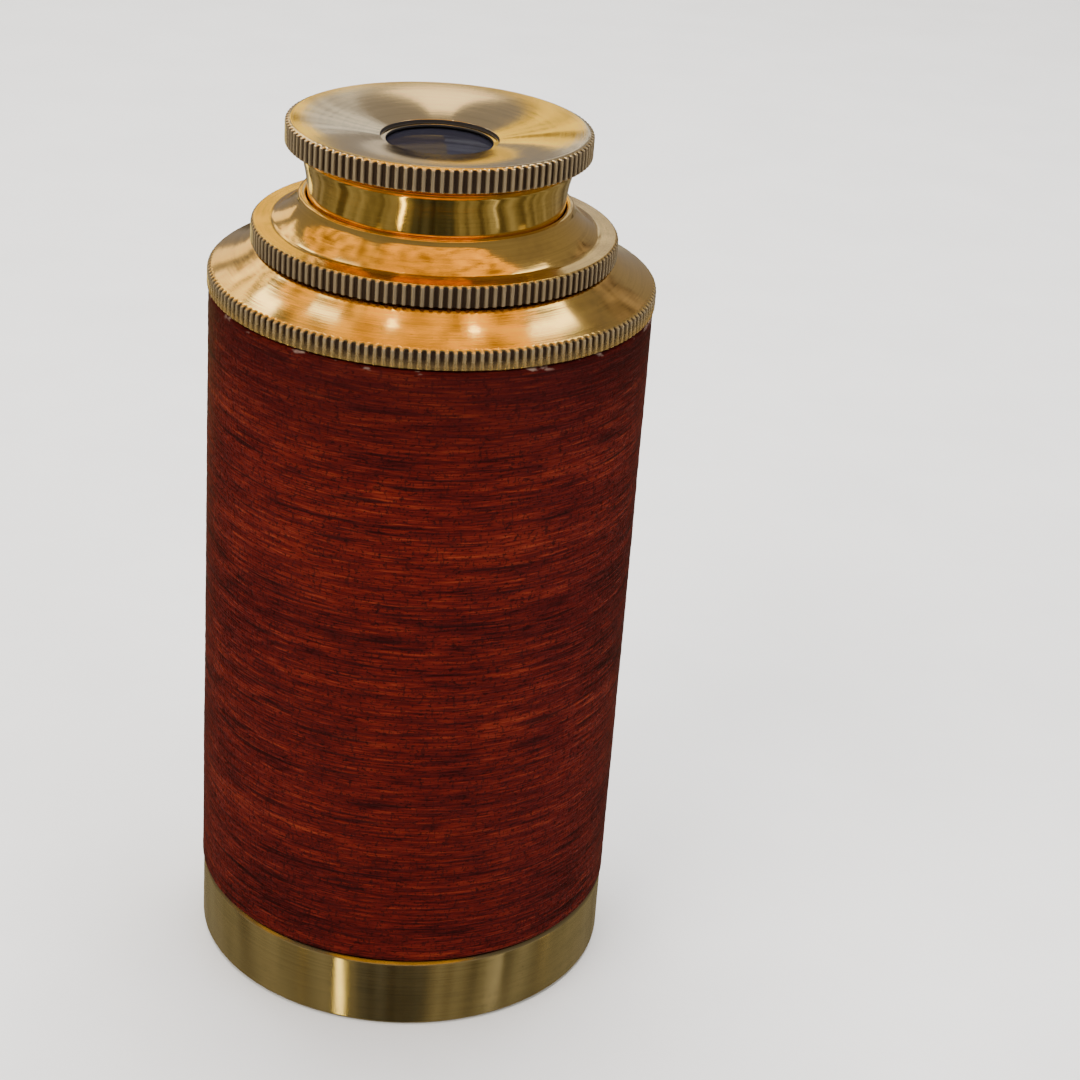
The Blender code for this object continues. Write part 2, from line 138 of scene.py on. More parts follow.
# ---------------------------------------------------------------- outlines from the CAD
def section(node):
    """A turned CAD node's outline, an ordered list of (radius, height), and whether it closes on itself."""
    mesh = frame["nodes"][node].data
    points = {}
    for vertex in mesh.vertices:
        if abs(vertex.co.y) < 1e-6 and vertex.co.x > -1e-6:
            points[vertex.index] = (round(vertex.co.x / MM, 3), round(vertex.co.z / MM, 3))
    links = {}
    for edge in mesh.edges:
        a, b = (points.get(index) for index in edge.vertices)
        if a is not None and b is not None and a != b:
            links.setdefault(a, set()).add(b)
            links.setdefault(b, set()).add(a)
    ends = [point for point, near in links.items() if len(near) == 1]
    here = min(ends) if ends else min(links)
    outline = [here]
    while True:
        onward = [point for point in sorted(links[here]) if point not in outline]
        if not onward:
            return outline, not ends
        here = onward[0]
        outline.append(here)


def eased(outline, closed):
    """The same outline with its corners broken and its curves smoothed, each by a short quadratic arc."""
    finer = []
    count = len(outline)
    for index, point in enumerate(outline):
        if not closed and index in (0, count - 1):
            finer.append(point)
            continue
        here = Vector(point)
        before = Vector(outline[index - 1]) - here
        after = Vector(outline[(index + 1) % count]) - here
        turn = 180.0 - math.degrees(before.angle(after))
        shorter = min(before.length, after.length)
        if turn < STRAIGHT_LIMIT:
            finer.append(point)
            continue
        sharp = turn > BEND_LIMIT
        reach = min(CORNER_EASE, CORNER_SHARE * shorter) if sharp else CURVE_SHARE * shorter
        start = here + before.normalized() * reach
        end = here + after.normalized() * reach
        steps = 3 if sharp else 2
        for step in range(steps + 1):
            part = step / steps
            finer.append(tuple(start * (1 - part) ** 2 + here * 2 * part * (1 - part) + end * part ** 2))
    return finer


# ---------------------------------------------------------------- meshes
def finish_mesh(name, mesh, materials, sharp_angle=40.0):
    mesh.validate()
    for made in materials:
        mesh.materials.append(made)
    mesh.shade_smooth()
    mesh.set_sharp_from_angle(angle=math.radians(sharp_angle))
    made = bpy.data.objects.new(name, mesh)
    bpy.context.scene.collection.objects.link(made)
    return made


def groove(phase):
    """Depth of a knurl's cut across one tooth, from 0 on the crest to 1 in the valley."""
    return np.clip(0.72 - 1.15 * np.cos(2.0 * math.pi * phase), 0.0, 1.0)


def turned(name, outline, closed, sides, materials, cut=None, shift=None):
    """Turns an outline once round the axis. cut gives each outline point's knurl depth for each side.

    A second material is the finish of the inside, on the faces that look at the axis."""
    around = np.arange(sides) * 2.0 * math.pi / sides
    profile = np.array(outline)
    radius = np.repeat(profile[:, :1], sides, axis=1)
    height = np.repeat(profile[:, 1:], sides, axis=1)
    depth = np.zeros_like(radius)
    if cut is not None:
        depth = cut(profile, around)
        radius = radius - depth
    if shift is not None:
        radius = radius + shift(profile, around)
    places = np.stack([radius * np.cos(around), radius * np.sin(around), height], axis=-1) * MM
    rows = len(outline)
    spans = rows if closed else rows - 1
    faces = []
    for row in range(spans):
        low = row * sides
        high = (row + 1) % rows * sides
        for side in range(sides):
            onward = (side + 1) % sides
            faces.append((low + side, low + onward, high + onward, high + side))
    mesh = bpy.data.meshes.new(name)
    mesh.from_pydata(places.reshape(-1, 3).tolist(), [], faces)
    deepest = max(float(depth.max()), 1e-6)
    toothed = np.repeat(depth.max(axis=1, keepdims=True), sides, axis=1)
    for name_of_layer, values in (("groove", depth), ("knurled", toothed)):
        layer = mesh.attributes.new(name_of_layer, "FLOAT", "POINT")
        layer.data.foreach_set("value", (values / deepest).astype(np.float32).ravel())
    geometry = bmesh.new()
    geometry.from_mesh(mesh)
    if not closed:
        bmesh.ops.remove_doubles(geometry, verts=geometry.verts, dist=1e-7)
    bmesh.ops.recalc_face_normals(geometry, faces=geometry.faces)
    if len(materials) > 1:
        for face in geometry.faces:
            outward = face.calc_center_median()
            outward.z = 0.0
            looks_in = outward.length > 1e-6 and face.normal.dot(outward.normalized()) < -0.5
            face.material_index = int(looks_in)
    geometry.to_mesh(mesh)
    geometry.free()
    return finish_mesh(name, mesh, materials)


def knurl_cut(node, outline):
    """The cut of a node's knurl: straight grooves down its rim, which run out where the piece narrows."""
    teeth = KNURLS[node]["teeth"]
    depth = KNURLS[node]["depth"]
    fade = KNURLS[node]["fade"]
    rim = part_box(node)[1].x / MM
    band = [height for radius, height in outline if radius > rim - 0.01]
    foot = min(band)
    tall = max(band) - foot

    def cut(profile, around):
        wave = groove(around * teeth / (2.0 * math.pi) % 1.0)
        lost = fade * np.clip(1.0 - (profile[:, 1] - foot) / tall, 0.0, 1.0)
        bottom_of_groove = rim - depth * (1.0 - lost)[:, None] * wave[None, :]
        return np.clip(profile[:, :1] - bottom_of_groove, 0.0, depth)

    return cut


def divided(outline, closed, node):
    """The same outline with short steps near the piece's rim, where the knurl is cut."""
    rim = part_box(node)[1].x / MM
    innermost = rim - 2.0 * KNURLS[node]["depth"] - KNURL_MARGIN
    finer = []
    count = len(outline)
    for index, point in enumerate(outline):
        finer.append(point)
        onward = outline[(index + 1) % count]
        if (index == count - 1 and not closed) or min(point[0], onward[0]) < innermost:
            continue
        here, there = Vector(point), Vector(onward)
        steps = math.ceil((there - here).length / KNURL_ROW)
        finer += [tuple(here.lerp(there, step / steps)) for step in range(1, steps)]
    return finer


def body_of_node(node):
    bodies = frame["record"]["behaviour"]["bodies"]
    return next(body for body, members in bodies.items() if node in members)


def stand_for(piece, node):
    """The piece takes a CAD node's place: it rides on its body, and the CAD node is hidden."""
    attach(piece, body_of_node(node))
    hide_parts(node)
    return piece


# ---------------------------------------------------------------- material helpers
def start_material(name):
    made = bpy.data.materials.new(name)
    made.use_nodes = True
    return made, made.node_tree, made.node_tree.nodes["Principled BSDF"]


def add(tree, kind, inputs=None, **settings):
    made = tree.nodes.new(kind)
    for key, value in settings.items():
        setattr(made, key, value)
    for key, value in (inputs or {}).items():
        made.inputs[key].default_value = value
    return made


def link(tree, out, into):
    tree.links.new(out, into)


def stretched_noise(tree, stretch, detail=3.0, roughness=0.55, distortion=0.0):
    """Noise in the piece's own space, with its own number of features a metre along X, Y and Z."""
    place = add(tree, "ShaderNodeTexCoord")
    scaled = add(tree, "ShaderNodeVectorMath", {1: stretch}, operation="MULTIPLY")
    link(tree, place.outputs["Object"], scaled.inputs[0])
    made = add(tree, "ShaderNodeTexNoise", {"Scale": 1.0, "Detail": detail, "Roughness": roughness,
                                            "Distortion": distortion})
    link(tree, scaled.outputs["Vector"], made.inputs["Vector"])
    return made.outputs["Fac"]


def lathe_noise(tree, fineness, wander=60.0):
    """Noise that changes little round the axis: the fine rings that a lathe tool leaves.

    fineness is how many rings it has a metre, and wander how many features a metre it drifts by."""
    place = add(tree, "ShaderNodeTexCoord")
    flat = add(tree, "ShaderNodeVectorMath", {1: (1.0, 1.0, 0.0)}, operation="MULTIPLY")
    link(tree, place.outputs["Object"], flat.inputs[0])
    radius = add(tree, "ShaderNodeVectorMath", operation="LENGTH")
    link(tree, flat.outputs["Vector"], radius.inputs[0])
    split = add(tree, "ShaderNodeSeparateXYZ")
    link(tree, place.outputs["Object"], split.inputs["Vector"])
    joined = add(tree, "ShaderNodeCombineXYZ")
    link(tree, radius.outputs["Value"], joined.inputs["X"])
    link(tree, split.outputs["Z"], joined.inputs["Y"])
    rings = add(tree, "ShaderNodeVectorMath", {1: (fineness, fineness, 0.0)}, operation="MULTIPLY")
    link(tree, joined.outputs["Vector"], rings.inputs[0])
    drift = add(tree, "ShaderNodeVectorMath", {1: (wander, wander, wander)}, operation="MULTIPLY")
    link(tree, place.outputs["Object"], drift.inputs[0])
    both = add(tree, "ShaderNodeVectorMath", operation="ADD")
    link(tree, rings.outputs["Vector"], both.inputs[0])
    link(tree, drift.outputs["Vector"], both.inputs[1])
    made = add(tree, "ShaderNodeTexNoise", {"Scale": 1.0, "Detail": 2.0, "Roughness": 0.6})
    link(tree, both.outputs["Vector"], made.inputs["Vector"])
    return made.outputs["Fac"]


def ramp(tree, source, stops):
    """A colour ramp; stops are (position, (r, g, b)) from low to high."""
    made = add(tree, "ShaderNodeValToRGB")
    elements = made.color_ramp.elements
    while len(elements) < len(stops):
        elements.new(0.5)
    for element, (position, colour) in zip(elements, stops):
        element.position = position
        element.color = (*colour, 1.0)
    link(tree, source, made.inputs["Fac"])
    return made.outputs["Color"]


def span(tree, source, low, high, to_low=0.0, to_high=1.0):
    """Maps low..high of a value to to_low..to_high, clamped."""
    made = add(tree, "ShaderNodeMapRange", {"From Min": low, "From Max": high, "To Min": to_low,
                                            "To Max": to_high})
    link(tree, source, made.inputs["Value"])
    return made.outputs["Result"]


def mixed(tree, share, first, second, blend="MIX"):
    """Mixes two colours; either may be a socket or a constant (r, g, b)."""
    made = add(tree, "ShaderNodeMix", data_type="RGBA", blend_type=blend)
    colours = [socket for socket in made.inputs if socket.type == "RGBA"]
    factor = made.inputs["Factor"]
    for socket, value in ((factor, share), (colours[0], first), (colours[1], second)):
        if isinstance(value, bpy.types.NodeSocket):
            link(tree, value, socket)
        elif isinstance(value, tuple):
            socket.default_value = (*value, 1.0)
        else:
            socket.default_value = value
    return next(socket for socket in made.outputs if socket.type == "RGBA")


def summed(tree, *parts):
    """Adds value sockets, each with its weight: (socket, weight)."""
    total = None
    for source, weight in parts:
        scaled = add(tree, "ShaderNodeMath", {1: weight}, operation="MULTIPLY")
        link(tree, source, scaled.inputs[0])
        if total is None:
            total = scaled.outputs["Value"]
            continue
        joined = add(tree, "ShaderNodeMath", operation="ADD")
        link(tree, total, joined.inputs[0])
        link(tree, scaled.outputs["Value"], joined.inputs[1])
        total = joined.outputs["Value"]
    return total


def bumped(tree, shader, height, strength, distance):
    made = add(tree, "ShaderNodeBump", {"Strength": strength, "Distance": distance})
    link(tree, height, made.inputs["Height"])
    link(tree, made.outputs["Normal"], shader.inputs["Normal"])


# ---------------------------------------------------------------- materials
def brass(name, fresh, tarnish, roughness, brushing, line_depth, age=0.5, upward=None):
    """Turned brass: tool rings, brushed highlights, a drifting tarnish, oxide on the knurls, dirt in them.

    upward is the colour of the faces that look up: paler on the eyecup, and on the base ring a painted shade
    where the wrap's edge sits on it."""
    made, tree, shader = start_material(name)
    shader.inputs["Anisotropic"].default_value = brushing
    shader.inputs["Anisotropic Rotation"].default_value = 0.25
    round_axis = add(tree, "ShaderNodeTangent", direction_type="RADIAL", axis="Z")
    link(tree, round_axis.outputs["Tangent"], shader.inputs["Tangent"])
    clouds = stretched_noise(tree, (140.0, 140.0, 170.0), detail=5.0, roughness=0.6)
    rings = lathe_noise(tree, 5200.0)
    wide_rings = lathe_noise(tree, 900.0, wander=25.0)
    worn = summed(tree, (clouds, 0.75), (wide_rings, 0.25))
    colour = mixed(tree, span(tree, worn, 0.62 - 0.25 * age, 0.78 - 0.2 * age), fresh, tarnish)
    # faces that look up take the upward colour; on the base ring it is painted shade under the wrap's edge
    if upward is not None:
        facing = add(tree, "ShaderNodeSeparateXYZ")
        link(tree, add(tree, "ShaderNodeTexCoord").outputs["Normal"], facing.inputs["Vector"])
        colour = mixed(tree, span(tree, facing.outputs["Z"], 0.5, 0.9), colour, upward)
    tone = span(tree, rings, 0.3, 0.7, 0.88, 1.06)
    toned = mixed(tree, 1.0, colour, ramp(tree, tone, [(0.0, (0.0, 0.0, 0.0)), (1.0, (1.0, 1.0, 1.0))]),
                  blend="MULTIPLY")
    spots = stretched_noise(tree, (2600.0, 2600.0, 2600.0), detail=2.0)
    spotted = mixed(tree, span(tree, spots, 0.70, 0.78, 0.0, 0.45), toned, (0.10, 0.055, 0.02))
    scratches = stretched_noise(tree, (170.0, 170.0, 6500.0), detail=2.0)
    cut = add(tree, "ShaderNodeAttribute", attribute_name="groove")
    rim = add(tree, "ShaderNodeAttribute", attribute_name="knurled")
    link(tree, span(tree, rim.outputs["Fac"], 0.0, 1.0, 1.0, 0.62), shader.inputs["Metallic"])
    crested = mixed(tree, rim.outputs["Fac"], spotted, (0.36, 0.275, 0.165))
    dirt = span(tree, cut.outputs["Fac"], 0.10, 0.75)
    dirty = mixed(tree, dirt, crested, (0.050, 0.030, 0.018))
    link(tree, dirty, shader.inputs["Base Color"])
    rough = summed(tree, (clouds, 0.16), (rings, 0.10), (cut.outputs["Fac"], 0.30))
    link(tree, span(tree, rough, 0.0, 0.6, roughness - 0.06, roughness + 0.42), shader.inputs["Roughness"])
    relief = summed(tree, (rings, 1.0), (wide_rings, 0.6), (spots, 0.2), (scratches, 0.9))
    bumped(tree, shader, relief, 0.5, line_depth * MM)
    return made


def leather():
    """Dyed leather whose streaks run round the barrel, with fine pores. Along its top it has painted shade
    under the shoulder, and a frayed edge of pale fibres that is in part a painted glint.
    """
    made, tree, shader = start_material("oxblood_leather")
    shader.inputs["Specular IOR Level"].default_value = 0.07
    clouds = stretched_noise(tree, (32.0, 32.0, 80.0), detail=3.0)
    bands = stretched_noise(tree, (34.0, 34.0, 640.0), detail=3.0, roughness=0.6)
    streaks = stretched_noise(tree, (120.0, 120.0, 3100.0), detail=3.0, roughness=0.65)
    fibres = stretched_noise(tree, (380.0, 380.0, 6800.0), detail=2.0, roughness=0.6)
    cracks = stretched_noise(tree, (85.0, 85.0, 1900.0), detail=2.0, roughness=0.5, distortion=0.4)
    pores = stretched_noise(tree, (2100.0, 2100.0, 3600.0), detail=2.0, roughness=0.5)
    ticks = stretched_noise(tree, (2800.0, 2800.0, 1400.0), detail=1.0, roughness=0.5)
    tone = summed(tree, (clouds, 0.15), (bands, 0.15), (streaks, 0.36), (fibres, 0.34))
    dyed = ramp(tree, tone, [
        (0.40, (0.018, 0.0009, 0.0008)),
        (0.45, (0.042, 0.0016, 0.0012)),
        (0.51, (0.072, 0.0030, 0.0016)),
        (0.56, (0.108, 0.0072, 0.0024)),
        (0.63, (0.170, 0.0210, 0.0055)),
    ])
    cracked = mixed(tree, span(tree, cracks, 0.60, 0.68, 0.0, 0.8), dyed, (0.014, 0.0015, 0.0015))
    flecked = mixed(tree, span(tree, pores, 0.58, 0.66, 0.0, 0.8), cracked, (0.012, 0.0012, 0.001))
    ticked = mixed(tree, span(tree, ticks, 0.60, 0.68, 0.0, 0.6), flecked, (0.016, 0.0015, 0.001))
    height = add(tree, "ShaderNodeSeparateXYZ")
    link(tree, add(tree, "ShaderNodeTexCoord").outputs["Object"], height.inputs["Vector"])
    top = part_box("barrel_wrap")[1].z
    # painted shade: the wrap darkens towards its top, under the shoulder's overhang
    shaded_top = mixed(tree, span(tree, height.outputs["Z"], top - SHADE_UNDER_SHOULDER * MM, top, 0.0, 0.6), ticked,
                   (0.024, 0.0011, 0.0010))
    # pale frayed fibres along the top edge; in part they are a painted glint of the shoulder's lower edge at
    # the seam
    edge = span(tree, height.outputs["Z"], top - FIBRES_AND_GLINT * MM, top)
    loose = stretched_noise(tree, (420.0, 420.0, 900.0), detail=3.0)
    fibres_and_glint = add(tree, "ShaderNodeMath", operation="MULTIPLY")
    link(tree, edge, fibres_and_glint.inputs[0])
    link(tree, span(tree, loose, 0.58, 0.66), fibres_and_glint.inputs[1])
    with_fibres_and_glint = mixed(tree, fibres_and_glint.outputs["Value"], shaded_top, (0.27, 0.18, 0.14))
    link(tree, with_fibres_and_glint, shader.inputs["Base Color"])
    matt = summed(tree, (streaks, 0.5), (pores, 0.5))
    link(tree, span(tree, matt, 0.3, 0.7, 0.50, 0.68), shader.inputs["Roughness"])
    relief = summed(tree, (streaks, 0.7), (fibres, 0.6), (pores, -0.6), (cracks, -0.5), (ticks, -0.4))
    bumped(tree, shader, relief, 0.7, 0.10 * MM)
    return made


def blackened(name, colour, roughness):
    """Matt black for the inside of the tubes and the card."""
    made, tree, shader = start_material(name)
    fuzz = stretched_noise(tree, (1800.0, 1800.0, 1800.0), detail=3.0)
    lighter = tuple(2.2 * part for part in colour)
    link(tree, mixed(tree, fuzz, colour, lighter), shader.inputs["Base Color"])
    link(tree, span(tree, fuzz, 0.3, 0.7, roughness - 0.08, roughness + 0.08), shader.inputs["Roughness"])
    bumped(tree, shader, fuzz, 0.3, 0.03 * MM)
    return made


def felt():
    made, tree, shader = start_material("grey_felt")
    shader.inputs["Sheen Weight"].default_value = 0.3
    fuzz = stretched_noise(tree, (2400.0, 2400.0, 1500.0), detail=4.0, roughness=0.7)
    link(tree, ramp(tree, fuzz, [(0.3, (0.05, 0.05, 0.052)), (0.7, (0.19, 0.19, 0.185))]),
         shader.inputs["Base Color"])
    link(tree, span(tree, fuzz, 0.3, 0.7, 0.85, 0.98), shader.inputs["Roughness"])
    bumped(tree, shader, fuzz, 0.7, 0.1 * MM)
    return made


def nylon():
    made, tree, shader = start_material("washer_nylon")
    cloud = stretched_noise(tree, (700.0, 700.0, 700.0), detail=3.0)
    link(tree, ramp(tree, cloud, [(0.3, (0.62, 0.58, 0.49)), (0.7, (0.76, 0.73, 0.65))]),
         shader.inputs["Base Color"])
    link(tree, span(tree, cloud, 0.3, 0.7, 0.42, 0.56), shader.inputs["Roughness"])
    bumped(tree, shader, cloud, 0.2, 0.02 * MM)
    return made


def silvering():
    made, tree, shader = start_material("mirror_silver")
    shader.inputs["Metallic"].default_value = 1.0
    dust = stretched_noise(tree, (1600.0, 1600.0, 900.0), detail=3.0)
    link(tree, ramp(tree, dust, [(0.35, (0.93, 0.94, 0.94)), (0.75, (0.86, 0.88, 0.88))]),
         shader.inputs["Base Color"])
    link(tree, span(tree, dust, 0.45, 0.8, 0.015, 0.08), shader.inputs["Roughness"])
    return made


def glass(name, colour, roughness, frost=0.0, clear=1.0, bend=1.5):
    """Glass, coloured in the mass, with faint waves; frost adds the fine pits of a ground face."""
    made, tree, shader = start_material(name)
    shader.inputs["Transmission Weight"].default_value = clear
    shader.inputs["IOR"].default_value = bend
    waves = stretched_noise(tree, (420.0, 420.0, 420.0), detail=2.0)
    pits = stretched_noise(tree, (5200.0, 5200.0, 5200.0), detail=2.0)
    deeper = tuple(0.82 * part for part in colour)
    link(tree, mixed(tree, waves, colour, deeper), shader.inputs["Base Color"])
    link(tree, span(tree, pits, 0.3, 0.7, roughness, roughness + 0.03 + 0.2 * frost),
         shader.inputs["Roughness"])
    bumped(tree, shader, summed(tree, (waves, 1.0), (pits, frost)), 0.15 + 0.5 * frost, 0.03 * MM)
    return made


BRASS = brass("turned_brass", (0.80, 0.52, 0.14), (0.58, 0.37, 0.11), 0.08, 0.50, 0.011)
POLISHED = brass("polished_brass", (0.80, 0.56, 0.17), (0.60, 0.41, 0.13), 0.065, 0.45, 0.008, age=0.3,
                 upward=(0.86, 0.69, 0.42))
# its upward colour is painted shade on the ring's top faces, under the wrap's lower edge
OLIVE = brass("satin_olive_brass", (0.60, 0.49, 0.24), (0.48, 0.40, 0.20), 0.17, 1.0, 0.004, age=0.4,
              upward=(0.06, 0.042, 0.028))
LEATHER = leather()
BLACK = blackened("black_card", (0.010, 0.010, 0.011), 0.85)
FELT = felt()
NYLON = nylon()
SILVER = silvering()
CLEAR = glass("clear_glass", (0.95, 0.98, 0.97), 0.01)
FROSTED = glass("frosted_glass", (0.90, 0.93, 0.92), 0.35, frost=1.0)
# so low a bend keeps the lens dark, because it mirrors almost nothing
LENS = glass("coated_lens", (0.25, 0.235, 0.33), 0.01, clear=0.95, bend=1.06)
CHIP_GLASS = {
    "glass_ruby": glass("ruby_glass", (0.75, 0.02, 0.03), 0.03),
    "glass_cobalt": glass("cobalt_glass", (0.02, 0.10, 0.80), 0.03),
    "glass_amber": glass("amber_glass", (0.95, 0.45, 0.04), 0.03),
    "glass_emerald": glass("emerald_glass", (0.03, 0.60, 0.20), 0.03),
    "glass_violet": glass("violet_glass", (0.40, 0.06, 0.70), 0.03),
}


# ---------------------------------------------------------------- pieces
def fine_ring(node, *finishes, sides=192):
    """A CAD node turned again, finely."""
    outline, closed = section(node)
    piece = turned("fine_" + node, eased(outline, closed), closed, sides, finishes)
    return stand_for(piece, node)


def knurled_ring(node, *finishes, shift=None):
    """A CAD node turned again with the teeth of its knurl."""
    outline, closed = section(node)
    sides = KNURLS[node]["teeth"] * SAMPLES_PER_TOOTH
    finer = divided(eased(outline, closed), closed, node)
    piece = turned("knurled_" + node, finer, closed, sides, finishes, cut=knurl_cut(node, finer), shift=shift)
    return stand_for(piece, node)


def snug_lip(profile, around):
    """Draws the collar's bore in until only a fine line is left round the neck."""
    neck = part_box("inner_draw_tube")[1].x / MM
    bore = profile[:, 0].min()
    reach = np.clip(1.0 - (profile[:, 0] - bore) / (2.0 * (bore - neck)), 0.0, 1.0)
    return np.repeat(-(bore - neck - NECK_GAP) * reach[:, None], len(around), axis=1)


def leather_wrap(node="barrel_wrap"):
    """The wrap: a thin sleeve whose outside has the leather's low relief."""
    outline, _ = section(node)
    low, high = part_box(node)
    rim = high.x / MM
    bottom = low.z / MM
    top = high.z / MM
    inner = min(radius for radius, _ in outline)
    foot = bottom + WRAP_EDGE
    tall = top - bottom - 2.0 * WRAP_EDGE
    outside = [(rim, foot + tall * row / WRAP_ROWS) for row in range(WRAP_ROWS + 1)]
    rolled = [(rim - WRAP_EDGE, top), (inner, top), (inner, bottom), (rim - WRAP_EDGE, bottom)]

    def relief(profile, around):
        skin = profile[:, 0] > rim - 0.01
        moved = np.zeros((len(profile), len(around)))
        for row in np.flatnonzero(skin):
            height = profile[row, 1]
            for side, angle in enumerate(around):
                place = Vector((math.cos(angle), math.sin(angle), height * WRAP_STRETCH))
                swell = noise.noise(place * SWELL_FINENESS)
                streak = noise.noise(Vector((place.x * STREAKS_AROUND, place.y * STREAKS_AROUND,
                                             height * STREAKS_UP)))
                moved[row, side] = WRAP_SWELL * (swell - 1.0) + WRAP_STREAK * streak
        return moved

    piece = turned("leather_wrap", outside + rolled, True, WRAP_SIDES, [LEATHER], shift=relief)
    return stand_for(piece, node)


def polished_chip(node, finish):
    """A loose piece of glass: the CAD solid with its edges melted round."""
    source = frame["nodes"][node].data.copy()
    piece = finish_mesh("polished_" + node, source, [], sharp_angle=60.0)
    piece.data.materials.clear()
    piece.data.materials.append(finish)
    weld = piece.modifiers.new("weld", "WELD")
    weld.merge_threshold = 1e-6
    soft = piece.modifiers.new("melted_edges", "BEVEL")
    soft.width = CHIP_EDGE * MM
    soft.segments = 3
    soft.limit_method = "ANGLE"
    soft.angle_limit = math.radians(40.0)
    return stand_for(piece, node)


def build_pieces():
    """Makes every piece again, but for the mirrors and their packing: those solids only get a finish."""
    knurled_ring("eyecup", POLISHED, BLACK)
    knurled_ring("draw_collar", BRASS, shift=snug_lip)
    knurled_ring("shoulder_cap", BRASS)
    fine_ring("base_ring", OLIVE, sides=288)
    leather_wrap()
    for node in ("barrel_tube", "middle_draw_tube", "inner_draw_tube", "eye_lens_ring"):
        fine_ring(node, BRASS, BLACK)
    for node in ("barrel_foot_ring", "outer_guide_bush", "mirror_base_plate", "middle_draw_stop_ring",
                 "inner_guide_bush", "inner_draw_stop_ring", "bezel_ring", "chamber_spacer_ring",
                 "cell_retaining_ring"):
        fine_ring(node, BRASS)
    for node in ("mirror_tube", "mirror_end_mask"):
        fine_ring(node, BLACK)
    fine_ring("swivel_washer", NYLON)
    fine_ring("clear_glass_disc", CLEAR)
    fine_ring("frosted_glass_disc", FROSTED)
    fine_ring("eye_lens", LENS)
    for letter in "abc":
        for node, finish in ((f"mirror_{letter}", SILVER), (f"mirror_packing_{letter}", FELT)):
            solid = frame["nodes"][node]
            solid.data.materials.clear()
            solid.data.materials.append(finish)
    for row in frame["record"]["subparts"]:
        if row["node"].startswith("glass_chip"):
            polished_chip(row["node"], CHIP_GLASS[row["material_slot"]])


# ---------------------------------------------------------------- stage
def square(name, reach, height, finish):
    """A level square round the object."""
    mesh = bpy.data.meshes.new(name)
    mesh.from_pydata([(-reach, -reach, height), (reach, -reach, height), (reach, reach, height),
                      (-reach, reach, height)], [], [(0, 1, 2, 3)])
    mesh.materials.append(finish)
    return bpy.data.objects.new(name, mesh)


def floor():
    """The pale floor. The brass mirrors the dark table in its place."""
    made, tree, shader = start_material("pale_floor")
    grain = stretched_noise(tree, (40.0, 40.0, 40.0))
    link(tree, ramp(tree, grain, [(0.3, (0.85, 0.845, 0.835)), (0.7, (0.89, 0.885, 0.875))]),
         shader.inputs["Base Color"])
    shader.inputs["Roughness"].default_value = 0.75
    piece = square("floor", FLOOR_REACH, 0.0, made)
    piece.visible_glossy = False
    bpy.context.scene.collection.objects.link(piece)


def softbox(name, place, size, power, colour):
    """A large soft lamp. The metal doesn't mirror it, because the cards shape the metal's reflections."""
    lamp = bpy.data.lights.new(name, "AREA")
    lamp.shape = "SQUARE"
    lamp.size = size
    lamp.energy = power
    lamp.color = colour
    made = bpy.data.objects.new(name, lamp)
    made.location = place
    made.rotation_euler = (Vector(LAMP_TARGET) - Vector(place)).to_track_quat("-Z", "Y").to_euler()
    made.visible_glossy = False
    made.visible_camera = False
    bpy.context.scene.collection.objects.link(made)


def only_reflected(piece):
    """Puts a part of the room on the stage that only reflections show."""
    piece.visible_camera = False
    piece.visible_diffuse = False
    piece.visible_shadow = False
    piece.visible_transmission = False
    bpy.context.scene.collection.objects.link(piece)


def glowing(name, colour, strength):
    """A material that only gives off light."""
    made = bpy.data.materials.new(name)
    made.use_nodes = True
    tree = made.node_tree
    tree.nodes.clear()
    glow = add(tree, "ShaderNodeEmission", {"Strength": strength})
    glow.inputs["Color"].default_value = (*colour, 1.0)
    out = add(tree, "ShaderNodeOutputMaterial")
    link(tree, glow.outputs["Emission"], out.inputs["Surface"])
    return made, tree, glow


def card(name, azimuth, elevation, width, height, colour, strength, clutter):
    """A glowing card CARD_DISTANCE away from the middle of the brass.

    Azimuth 0 is straight behind the object, and every angle is in degrees. clutter is how many patches a
    metre the card has across and up, or None for a plain card."""
    turn, rise = math.radians(azimuth), math.radians(elevation)
    toward = Vector((math.sin(turn) * math.cos(rise), math.cos(turn) * math.cos(rise), math.sin(rise)))
    half_width = CARD_DISTANCE * math.tan(math.radians(width / 2))
    half_height = CARD_DISTANCE * math.tan(math.radians(height / 2))
    finish, tree, glow = glowing(name, colour, strength)
    if clutter:
        patches = ramp(tree, stretched_noise(tree, (*clutter, 1.0)), [
            (0.40, (0.14, 0.12, 0.11)), (0.49, (0.64, 0.64, 0.64)), (0.57, (1.0, 1.0, 1.0))])
        link(tree, mixed(tree, 1.0, patches, colour, blend="MULTIPLY"), glow.inputs["Color"])
    mesh = bpy.data.meshes.new(name)
    mesh.from_pydata([(-half_width, -half_height, 0), (half_width, -half_height, 0),
                      (half_width, half_height, 0), (-half_width, half_height, 0)], [], [(0, 1, 2, 3)])
    mesh.materials.append(finish)
    made = bpy.data.objects.new(name, mesh)
    made.location = Vector((0.0, 0.0, MIRRORED_HEIGHT)) + toward * CARD_DISTANCE
    made.rotation_euler = toward.to_track_quat("Z", "Y").to_euler()
    only_reflected(made)


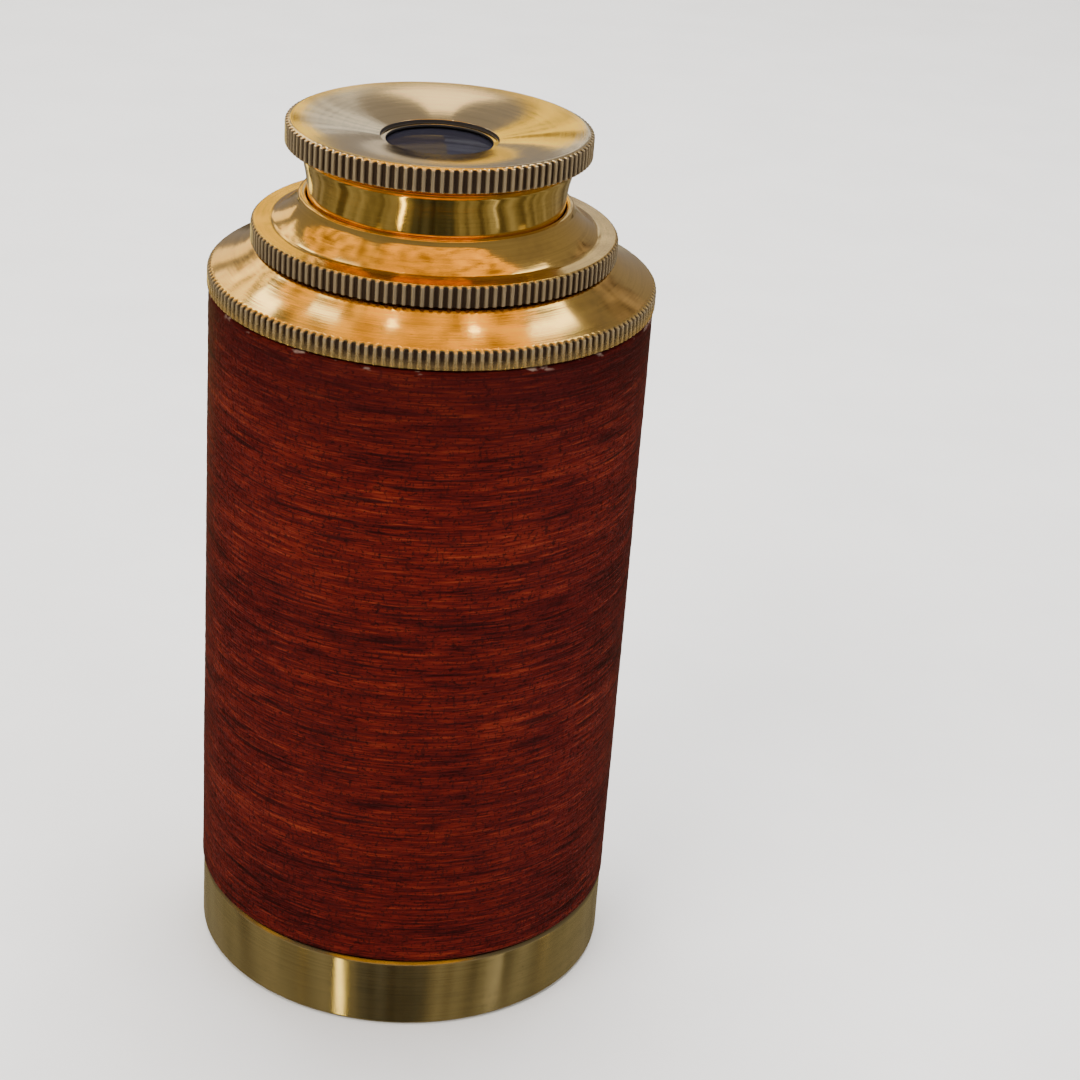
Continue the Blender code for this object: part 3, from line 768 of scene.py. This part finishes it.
def dark_table():
    """The brown table that the brass mirrors in place of the pale floor, with the viewer's shade on it."""
    finish, tree, glow = glowing("dark_table", (1.0, 1.0, 1.0), 1.0)
    place = add(tree, "ShaderNodeTexCoord")
    bearing = add(tree, "ShaderNodeTexGradient", gradient_type="RADIAL")
    link(tree, place.outputs["Object"], bearing.inputs["Vector"])
    way = add(tree, "ShaderNodeMath", {1: TABLE_THINGS}, operation="MULTIPLY")
    link(tree, bearing.outputs["Fac"], way.inputs[0])
    things = add(tree, "ShaderNodeTexNoise", {"Scale": 1.0, "Detail": 2.0}, noise_dimensions="1D")
    link(tree, way.outputs["Value"], things.inputs["W"])
    clutter = summed(tree, (things.outputs["Fac"], 0.7), (stretched_noise(tree, (9.0, 9.0, 1.0)), 0.3))
    table = ramp(tree, clutter, [(0.38, (0.10, 0.080, 0.050)), (0.50, (0.25, 0.215, 0.14)),
                                 (0.62, (0.40, 0.36, 0.27))])
    lit, shaded = (1.0, 1.0, 1.0), (0.24, 0.27, 0.34)
    edges = ((-SHADE_LEFT - SHADE_BLUR, lit), (-SHADE_LEFT + SHADE_BLUR, shaded),
             (SHADE_RIGHT - SHADE_BLUR, shaded), (SHADE_RIGHT + SHADE_BLUR, lit))
    # the gradient runs once round from 0 to 1, and it is a quarter straight in front
    shade = ramp(tree, bearing.outputs["Fac"], [(0.25 + angle / 360.0, tone) for angle, tone in edges])
    link(tree, mixed(tree, 1.0, table, shade, blend="MULTIPLY"), glow.inputs["Color"])
    only_reflected(square("dark_table", TABLE_REACH, TABLE_HEIGHT, finish))


def studio():
    """The light: a dim room with a pale backdrop, the soft lamps, the cards and the dark table."""
    world = bpy.data.worlds.new("studio")
    bpy.context.scene.world = world
    world.use_nodes = True
    tree = world.node_tree
    room = tree.nodes["Background"]
    room.inputs["Color"].default_value = (*ROOM_TONE, 1.0)
    pale = add(tree, "ShaderNodeBackground")
    pale.inputs["Color"].default_value = (*BACKDROP_TONE, 1.0)
    rays = add(tree, "ShaderNodeLightPath")
    either = add(tree, "ShaderNodeMixShader")
    link(tree, rays.outputs["Is Camera Ray"], either.inputs["Fac"])
    link(tree, room.outputs["Background"], either.inputs[1])
    link(tree, pale.outputs["Background"], either.inputs[2])
    link(tree, either.outputs["Shader"], tree.nodes["World Output"].inputs["Surface"])
    for row in LAMPS:
        softbox(*row)
    for row in CARDS:
        card(*row)
    dark_table()


def camera():
    """The camera, turned by its pan, tilt and roll."""
    pan, tilt, roll = (math.radians(angle) for angle in (CAMERA_PAN, CAMERA_TILT, CAMERA_ROLL))
    ahead = Vector((math.sin(pan) * math.cos(tilt), math.cos(pan) * math.cos(tilt), -math.sin(tilt)))
    right = Vector((math.cos(pan), -math.sin(pan), 0.0))
    up = right.cross(ahead)
    rolled_right = right * math.cos(roll) + up * math.sin(roll)
    rolled_up = up * math.cos(roll) - right * math.sin(roll)
    lens = bpy.data.cameras.new("camera")
    lens.lens = CAMERA_LENS
    lens.clip_start = 0.01
    made = bpy.data.objects.new("camera", lens)
    turn = Matrix((rolled_right, rolled_up, -ahead)).transposed()
    made.matrix_world = Matrix.Translation(Vector(CAMERA_PLACE) * MM) @ turn.to_4x4()
    bpy.context.scene.collection.objects.link(made)
    bpy.context.scene.camera = made


build_pieces()
floor()
studio()
camera()
